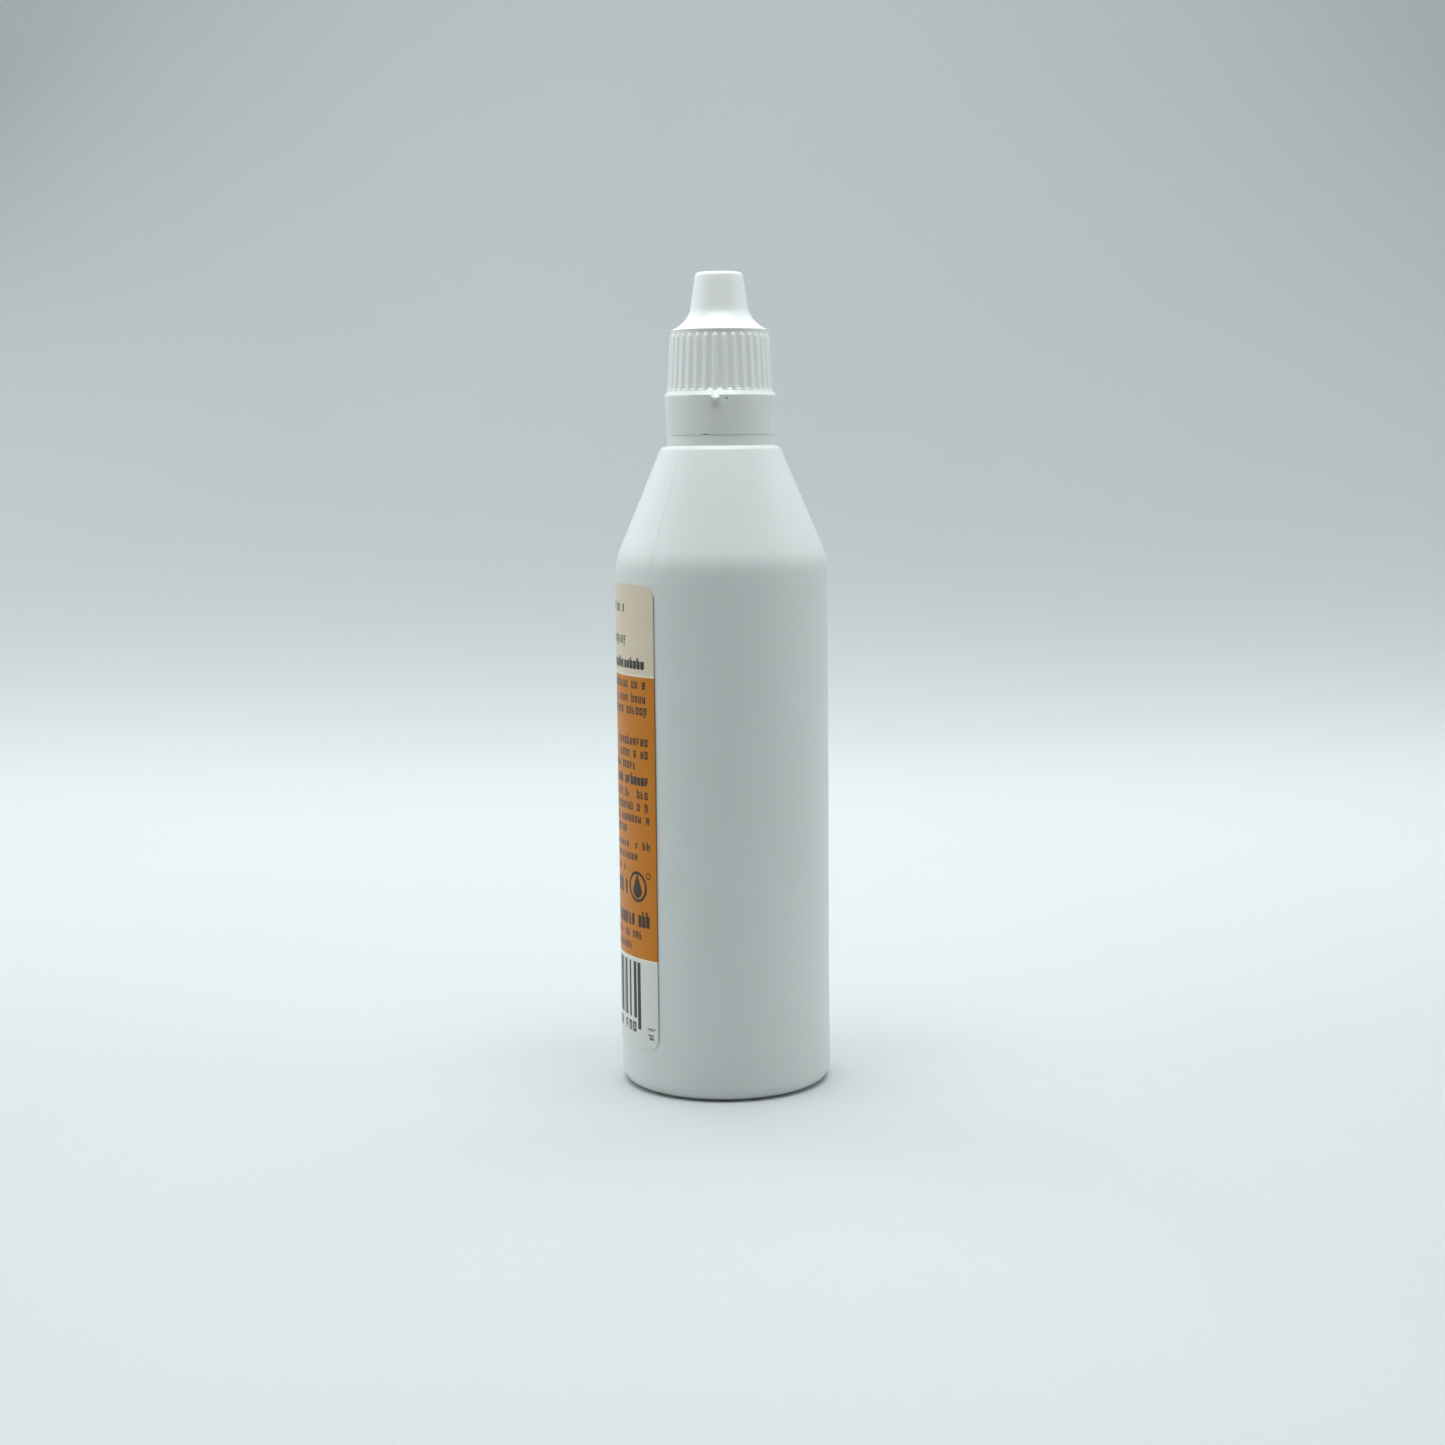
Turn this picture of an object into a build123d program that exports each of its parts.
from build123d import *
from math import atan2, cos, degrees, radians, sin, tan
import os

# Squeeze dropper bottle with a ribbed screw cap and a torn tamper band.
# Millimetres. The origin is the middle of the base, +Z runs up the neck, and
# the bottle's bare side faces -Y. Angles around the bottle are in degrees
# from +X, anticlockwise seen from above.

# ---- Driving dimensions: bottle body ---------------------------------------
body_dia = 38.0  # outside of the squeeze body
body_height = 94.9  # floor to the corner where the shoulder cone starts
body_wall = 1.0
cone_blend = 10.0  # outside radius that joins body and cone
base_edge = 2.5  # outside radius of the heel
base_ring_width = 1.5  # flat ring that the bottle stands on
base_push_up = 1.6  # rise of the domed base in the middle

shoulder_height = 20.0  # height of the cone
shoulder_step = 1.15  # flat step around the collar
shoulder_edge = 0.8
shoulder_deck = 1.5  # thickness of the step
collar_height = 2.0

# ---- Driving dimensions: neck ----------------------------------------------
neck_dia = 14.0  # at the root of the thread
neck_wall = 1.1
collar_reach = 2.4  # how far the collar stands out from the neck
rim_land = 1.05  # plain neck above the thread
bead_rise = 3.6  # collar top to the underside of the tamper bead
bead_reach = 1.75  # how far the bead stands out from the neck
bead_land = 0.5
bead_height = 1.8

# ---- Driving dimensions: screw thread --------------------------------------
thread_pitch = 3.2  # single start, right hand
thread_depth = 0.7
thread_lead_in = 1.45  # bottom of the cap up to the middle of the neck's ridge
neck_ridge_turns = 1.5
neck_ridge_root = 1.5  # ridge width at the neck
neck_ridge_crest = 0.6
cap_ridge_turns = 1.25
cap_ridge_root = 1.4
cap_ridge_crest = 0.5
flank_clearance = 0.1  # between the two ridges, along the axis
crest_clearance = 0.25  # between a ridge and the wall that faces it

# ---- Driving dimensions: tamper band ---------------------------------------
band_height = 7.55
band_bottom_wall = 0.6
band_top_wall = 1.0
band_wall_clearance = 0.2  # band bore around the bead
band_chamfer_height = 0.8
band_chamfer_width = 0.55
catch_depth = 0.75  # inside lip that hooks under the bead
catch_height = 1.2
bridge_count = 8
bridge_width = 0.4
bridge_stub = 0.08
torn_tab_radius = 0.6
torn_tab_angle = -94.7
dent_width = 1.3
dent_height = 0.5
dent_depth = 0.35
dent_rise = 0.5  # band's lower edge up to the middle of the dent
dent_angle = -105.0
pit_dia = 0.3
pit_depth = 0.12
pit_drop = 1.3  # band top down to the sink pit
pit_angle = -83.7

# ---- Driving dimensions: cap -----------------------------------------------
skirt_wall = 1.125  # between the ribs, at the bottom
skirt_draft = 3.15  # lean of the skirt from upright
rib_count = 34
rib_height = 0.38
rib_nose = 0.5  # radius of a rib's rounded nose
rib_stop = 0.95  # lip down to the rounded top of a rib
lip_overhang = 0.15  # lip beyond the skirt's wall
lip_edge = 0.1
cap_deck = 1.6  # thickness of the cap's roof over the skirt
flare_height = 3.3
flare_sag = 0.5  # how far the flare hollows in from a straight cone
tip_base_dia = 10.45
tip_top_dia = 8.35
tip_edge = 0.8
tip_roof = 1.3
tip_headroom = 1.5  # nozzle up to the roof of the tip
nozzle_clearance = 0.6  # around the foot of the nozzle
nozzle_top_clearance = 1.1  # around the mouth of the nozzle
pin_root_dia = 1.6
pin_dia = 0.55
pin_reach = 0.5  # depth of the sealing pin inside the nozzle's mouth

# ---- Driving dimensions: dropper insert ------------------------------------
flange_inset = 0.1  # flange edge inside the neck's wall
flange_height = 0.9
sleeve_wall = 0.8
sleeve_length = 7.8
sleeve_clearance = 0.08
seal_squeeze = 0.04  # how far a sealing bead bites into the bore
seal_nose = 0.3
seal_drops = (2.4, 5.6)  # rim down to each sealing bead
nozzle_height = 9.0
nozzle_base_dia = 7.0
nozzle_tip_dia = 3.6
nozzle_wall = 0.8
nozzle_tip_wall = 0.6
funnel_depth = 1.0  # rim down to where the sleeve starts to narrow
orifice_dia = 0.9
orifice_length = 1.6
mouth_dia = 1.9
mouth_depth = 0.8

# ---- Driving dimensions: label ---------------------------------------------
label_thickness = 0.12
label_foot = 8.3  # floor to the label's lower edge
label_headroom = 3.9  # label's upper edge to the start of the cone
label_corner = 2.5
label_seen_edge = -128.6  # angle of the edge beside the bare side
label_width = 75.0  # length of the paper, clockwise from that edge

# ---- Driving dimensions: mould marks ---------------------------------------
parting_angle = -131.3
parting_width = 0.35
parting_height = 0.06
parting_root = 0.5  # how deep the line is rooted in the wall
parting_gap = 0.4  # kept between the parting line and the label
parting_stop = 1.0  # kept below the shoulder's step
pinch_length = 13.0
pinch_width = 0.5
pinch_height = 0.3
heel_notch_width = 0.9
heel_notch_depth = 0.6

# ---- Clearances between moving pieces --------------------------------------
band_gap = 0.1  # collar to band, and band to cap
deck_gap = 0.1  # cap's roof over the insert's flange
catch_gap = 0.1  # band's catch under the bead

# ---- Radii and heights that follow -----------------------------------------
body_r = body_dia / 2
inner_r = body_r - body_wall
base_ring_r = body_r - base_edge - base_ring_width
neck_r = neck_dia / 2
bore_r = neck_r - neck_wall
bead_r = neck_r + bead_reach
collar_r = neck_r + collar_reach
shoulder_r = collar_r + shoulder_step
shoulder_top = body_height + shoulder_height
collar_top = shoulder_top + collar_height
bead_bottom = collar_top + bead_rise

cone_lean = atan2(body_r - shoulder_r, shoulder_height)
inner_cone_top = shoulder_top - shoulder_deck
inner_cone_r = body_r - body_wall / cos(cone_lean) - (inner_cone_top - body_height) * tan(cone_lean)
inner_corner = body_height - body_wall * tan(cone_lean / 2)

band_bottom = collar_top + band_gap
band_top = band_bottom + band_height
band_bore_r = bead_r + band_wall_clearance
band_bottom_r = band_bore_r + band_bottom_wall
band_top_r = band_bore_r + band_top_wall
torn_tab_r = band_top_r - band_chamfer_width / 2

skirt_bottom = band_top + band_gap
ridge_start = skirt_bottom + thread_lead_in
neck_top = ridge_start + neck_ridge_turns * thread_pitch + neck_ridge_root / 2 + rim_land

sleeve_r = bore_r - sleeve_clearance
sleeve_inner_r = sleeve_r - sleeve_wall
flange_r = neck_r - flange_inset
nozzle_base = neck_top + flange_height
nozzle_top = nozzle_base + nozzle_height
nozzle_base_r = nozzle_base_dia / 2
nozzle_tip_r = nozzle_tip_dia / 2

roof_bottom = nozzle_base + deck_gap
lip_top = roof_bottom + cap_deck
lip_bottom = lip_top - lip_edge
flare_top = lip_top + flare_height
cavity_top = nozzle_top + tip_headroom
cap_top = cavity_top + tip_roof
pin_bottom = nozzle_top - pin_reach
skirt_bore_r = neck_r + thread_depth + crest_clearance
skirt_bottom_r = skirt_bore_r + skirt_wall
skirt_top_r = skirt_bottom_r - (lip_bottom - skirt_bottom) * tan(radians(skirt_draft))
lip_r = skirt_top_r + lip_overhang
rib_top = lip_bottom - rib_stop - rib_nose
rib_bottom_r = skirt_bottom_r + rib_height - rib_nose
rib_top_r = rib_bottom_r - (rib_top - skirt_bottom) * tan(radians(skirt_draft))

label_bottom = label_foot
label_top = body_height - label_headroom
label_far_edge = label_seen_edge - degrees(label_width / body_r)


def ridge_profile(root, crest, root_r, crest_r, sunk):
    """Closed outline of a thread ridge: x runs outwards from root_r, y runs along the axis."""
    rise = crest_r - root_r
    base = -sunk if rise > 0 else sunk
    Polyline(
        (base, -root / 2), (0, -root / 2), (rise, -crest / 2),
        (rise, crest / 2), (0, root / 2), (base, root / 2), close=True,
    )


def thread_path(start, turns, radius, first_angle):
    """Right-hand helix about Z that starts at the given height and angle."""
    helix = Helix(thread_pitch, thread_pitch * turns, radius, mode=Mode.PRIVATE)
    return Pos(0, 0, start) * Rot(0, 0, first_angle) * helix


def profile_plane(path, first_angle):
    """Plane across the start of a thread path, its x axis pointing away from the bottle's axis."""
    outwards = (cos(radians(first_angle)), sin(radians(first_angle)), 0)
    return Plane(origin=path @ 0, x_dir=outwards, z_dir=path % 0)


def upright_plane(angle):
    """Plane through the bottle's axis, its x axis at the given angle and its y axis up."""
    outwards = Vector(cos(radians(angle)), sin(radians(angle)), 0)
    return Plane(origin=(0, 0, 0), x_dir=outwards, z_dir=outwards.cross(Vector(0, 0, 1)))


def wall_run(depth):
    """Points up the bottle's wall, depth outside it, from above the label to below the step."""
    return [
        (body_r + depth, label_top + parting_gap),
        (body_r + depth, body_height + depth * tan(cone_lean / 2)),
        (
            shoulder_r + depth / cos(cone_lean) + parting_stop * tan(cone_lean),
            shoulder_top - parting_stop,
        ),
    ]


def facing_plane(angle, distance):
    """Plane square to the radius at the given angle, its y axis up and facing away from the axis."""
    outwards = Vector(cos(radians(angle)), sin(radians(angle)), 0)
    return Plane(origin=outwards * distance, x_dir=Vector(0, 0, 1).cross(outwards), z_dir=outwards)


# ---- Bottle ----------------------------------------------------------------
# One revolved wall: domed base, body, cone, collar, tamper bead and neck.
neck_ridge_path = thread_path(ridge_start, neck_ridge_turns, neck_r, 0)
mould_plane = upright_plane(parting_angle)

with BuildPart() as bottle:
    with BuildSketch(Plane.XZ):
        with BuildLine():
            TangentArc((0, base_push_up), (base_ring_r, 0), tangent=(1, 0))
            FilletPolyline(
                (base_ring_r, 0), (body_r, 0), (body_r, body_height),
                (shoulder_r, shoulder_top), (collar_r, shoulder_top), (collar_r, collar_top),
                (neck_r, collar_top), (neck_r, bead_bottom), (bead_r, bead_bottom),
                (bead_r, bead_bottom + bead_land), (neck_r, bead_bottom + bead_height),
                (neck_r, neck_top), (bore_r, neck_top), (bore_r, inner_cone_top),
                (inner_cone_r, inner_cone_top), (inner_r, inner_corner), (inner_r, body_wall),
                (base_ring_r, body_wall),
                radius=[
                    base_edge, cone_blend, shoulder_edge, 0.25, 0.2, 0.3, 0.15, 0.1, 0.1, 0.3,
                    0.25, 0.15, 1.2, 1.0, cone_blend - body_wall, base_edge - body_wall,
                ],
            )
            TangentArc(
                (0, base_push_up + body_wall), (base_ring_r, body_wall), tangent=(1, 0)
            )
            Line((0, base_push_up), (0, base_push_up + body_wall))
        make_face()
    revolve(axis=Axis.Z)

    # External screw thread.
    with BuildSketch(profile_plane(neck_ridge_path, 0)):
        with BuildLine():
            ridge_profile(neck_ridge_root, neck_ridge_crest, neck_r, neck_r + thread_depth, 0.3)
        make_face()
    sweep(path=neck_ridge_path, is_frenet=True)

    # Mould parting line, above and below the label, on both sides.
    with BuildSketch(mould_plane):
        with BuildLine():
            crest = FilletPolyline(wall_run(parting_height), radius=[cone_blend + parting_height])
            root = FilletPolyline(wall_run(-parting_root), radius=[cone_blend - parting_root])
            Line(crest @ 0, root @ 0)
            Line(crest @ 1, root @ 1)
        make_face()
        with Locations((body_r + parting_height, base_edge)):
            Rectangle(
                parting_height + parting_root, label_bottom - parting_gap - base_edge,
                align=(Align.MAX, Align.MIN),
            )
        mirror(about=Plane.YZ)
    extrude(amount=parting_width / 2, both=True)

    # Pinch-off weld across the domed base, and the nick it leaves in the heel.
    with BuildSketch(Plane.XY.offset(base_push_up - pinch_height)):
        with Locations(Rot(0, 0, parting_angle)):
            Rectangle(pinch_length, pinch_width)
    extrude(amount=pinch_height + body_wall / 2)
    with BuildSketch(mould_plane):
        with Locations((body_r - base_edge, 0), (base_edge - body_r, 0)):
            Rectangle(base_edge * 2, heel_notch_depth * 2)
    extrude(amount=heel_notch_width / 2, both=True, mode=Mode.SUBTRACT)

bottle.part.label = "bottle"

# ---- Dropper insert --------------------------------------------------------
with BuildPart() as dropper_insert:
    with BuildSketch(Plane.XZ):
        with BuildLine():
            FilletPolyline(
                (sleeve_inner_r, neck_top - sleeve_length), (sleeve_r, neck_top - sleeve_length),
                (sleeve_r, neck_top), (flange_r, neck_top), (flange_r, nozzle_base),
                (nozzle_base_r, nozzle_base), (nozzle_tip_r, nozzle_top),
                (mouth_dia / 2, nozzle_top), (orifice_dia / 2, nozzle_top - mouth_depth),
                (orifice_dia / 2, nozzle_top - mouth_depth - orifice_length),
                (nozzle_tip_r - nozzle_tip_wall, nozzle_top - mouth_depth - orifice_length),
                (nozzle_base_r - nozzle_wall, nozzle_base), (sleeve_inner_r, neck_top - funnel_depth),
                radius=[0.1, 0.3, 0, 0.2, 0.25, 0.6, 0.35, 0.1, 0, 0, 0.2, 0.4, 0.5],
                close=True,
            )
        make_face()
        for drop in seal_drops:
            with Locations((bore_r + seal_squeeze - seal_nose, neck_top - drop)):
                Circle(seal_nose)
    revolve(axis=Axis.Z)

dropper_insert.part.label = "dropper_insert"

# ---- Tamper band -----------------------------------------------------------
def around_band(angle, radius, height):
    """Place on the band, its x axis pointing outwards."""
    return Rot(0, 0, angle) * Pos(radius, 0, height)


dent = around_band(dent_angle, band_bottom_r, band_bottom + dent_rise) * scale(
    Sphere(1, mode=Mode.PRIVATE), by=(dent_depth, dent_width / 2, dent_height / 2), mode=Mode.PRIVATE
)

with BuildPart() as tamper_band:
    with BuildSketch(Plane.XZ):
        with BuildLine():
            FilletPolyline(
                (band_bottom_r, band_bottom),
                (band_top_r, band_top - band_chamfer_height),
                (band_top_r - band_chamfer_width, band_top),
                (band_bore_r, band_top), (band_bore_r, bead_bottom - catch_gap),
                (band_bore_r - catch_depth, bead_bottom - catch_gap),
                (band_bore_r, bead_bottom - catch_gap - catch_height), (band_bore_r, band_bottom),
                radius=[0.15, 0.12, 0.1, 0.08, 0.1, 0.15, 0.2, 0.1],
                close=True,
            )
        make_face()
    revolve(axis=Axis.Z)

    # Torn bridges: low stubs all round, and one tab that hangs over the edge.
    with BuildSketch(Plane.XY.offset(band_top - bridge_stub)):
        with PolarLocations((band_bore_r + band_top_r - band_chamfer_width) / 2, bridge_count):
            Rectangle(bridge_width, bridge_width)
    extrude(amount=2 * bridge_stub)
    with Locations(around_band(torn_tab_angle, torn_tab_r, band_top - torn_tab_radius)):
        Sphere(torn_tab_radius)

    # Lens-shaped dent near the lower edge and a sink pit under the ledge.
    add(dent, mode=Mode.SUBTRACT)
    with Locations(around_band(pit_angle, band_top_r, band_top - pit_drop)):
        Cylinder(pit_dia / 2, 2 * pit_depth, rotation=(0, 90, 0), mode=Mode.SUBTRACT)

tamper_band.part.label = "tamper_band"

# ---- Cap -------------------------------------------------------------------
with BuildPart() as rib:
    with BuildSketch(Plane.XY.offset(skirt_bottom)):
        with Locations((rib_bottom_r, 0)):
            Circle(rib_nose)
    with BuildSketch(Plane.XY.offset(rib_top)):
        with Locations((rib_top_r, 0)):
            Circle(rib_nose)
    loft()
    with Locations((rib_top_r, 0, rib_top)):
        Sphere(rib_nose)

# The cap's ridge hangs under the neck's ridge, so it pulls the cap down onto the insert.
cap_ridge_first = (neck_ridge_turns - cap_ridge_turns) * 360
mid_width_neck = (neck_ridge_root + neck_ridge_crest) / 2
mid_width_cap = (cap_ridge_root + cap_ridge_crest) / 2
ridge_spacing = (mid_width_neck + mid_width_cap) / 2 + flank_clearance
cap_ridge_start = ridge_start + cap_ridge_first / 360 * thread_pitch - ridge_spacing
cap_ridge_path = thread_path(cap_ridge_start, cap_ridge_turns, skirt_bore_r, cap_ridge_first)

with BuildPart() as cap:
    with BuildSketch(Plane.XZ):
        with BuildLine():
            FilletPolyline(
                (tip_base_dia / 2, flare_top), (tip_top_dia / 2, cap_top), (0, cap_top),
                radius=[tip_edge],
            )
            Line((0, cap_top), (0, pin_bottom))
            FilletPolyline(
                (0, pin_bottom), (pin_dia / 2, pin_bottom), (pin_root_dia / 2, cavity_top),
                (nozzle_tip_r + nozzle_top_clearance, cavity_top),
                (nozzle_base_r + nozzle_clearance, roof_bottom),
                (skirt_bore_r, roof_bottom), (skirt_bore_r, skirt_bottom),
                (skirt_bottom_r, skirt_bottom), (skirt_top_r, lip_bottom),
                (lip_r, lip_bottom), (lip_r, lip_top),
                radius=[0.1, 0.3, 0.6, 0.4, 0.4, 0.15, 0, 0, 0],
            )
            SagittaArc((lip_r, lip_top), (tip_base_dia / 2, flare_top), flare_sag)
        make_face()
    revolve(axis=Axis.Z)
    with PolarLocations(0, rib_count):
        add(rib.part)

    # Internal screw thread.
    with BuildSketch(profile_plane(cap_ridge_path, cap_ridge_first)):
        with BuildLine():
            ridge_profile(
                cap_ridge_root, cap_ridge_crest, skirt_bore_r, skirt_bore_r - thread_depth, 0.3
            )
        make_face()
    sweep(path=cap_ridge_path, is_frenet=True)

cap.part.label = "cap"

# ---- Label -----------------------------------------------------------------
with BuildPart() as label:
    with BuildSketch(Plane.XY.offset(label_bottom)):
        with BuildLine():
            for radius in (body_r, body_r + label_thickness):
                CenterArc((0, 0), radius, label_far_edge, label_seen_edge - label_far_edge)
            for angle in (label_seen_edge, label_far_edge):
                outwards = Vector(cos(radians(angle)), sin(radians(angle)))
                Line(outwards * body_r, outwards * (body_r + label_thickness))
        make_face()
    extrude(amount=label_top - label_bottom)
    # Round the corners with cutters that point at the bottle's axis.
    for angle, inwards in ((label_seen_edge, -1), (label_far_edge, 1)):
        with BuildSketch(facing_plane(angle, body_r - label_corner)):
            for height, upwards in ((label_bottom, 1), (label_top, -1)):
                with Locations((0, height)):
                    Rectangle(2 * label_corner, 2 * label_corner)
                with Locations((inwards * label_corner, height + upwards * label_corner)):
                    Circle(label_corner, mode=Mode.SUBTRACT)
        extrude(amount=2 * label_corner, mode=Mode.SUBTRACT)

label.part.label = "label"

# ---- Files -----------------------------------------------------------------
os.makedirs("parts", exist_ok=True)
export_step(bottle.part, "parts/bottle.step")
export_step(dropper_insert.part, "parts/dropper_insert.step")
export_step(cap.part, "parts/cap.step")
export_step(tamper_band.part, "parts/tamper_band.step")
export_step(label.part, "parts/label.step")
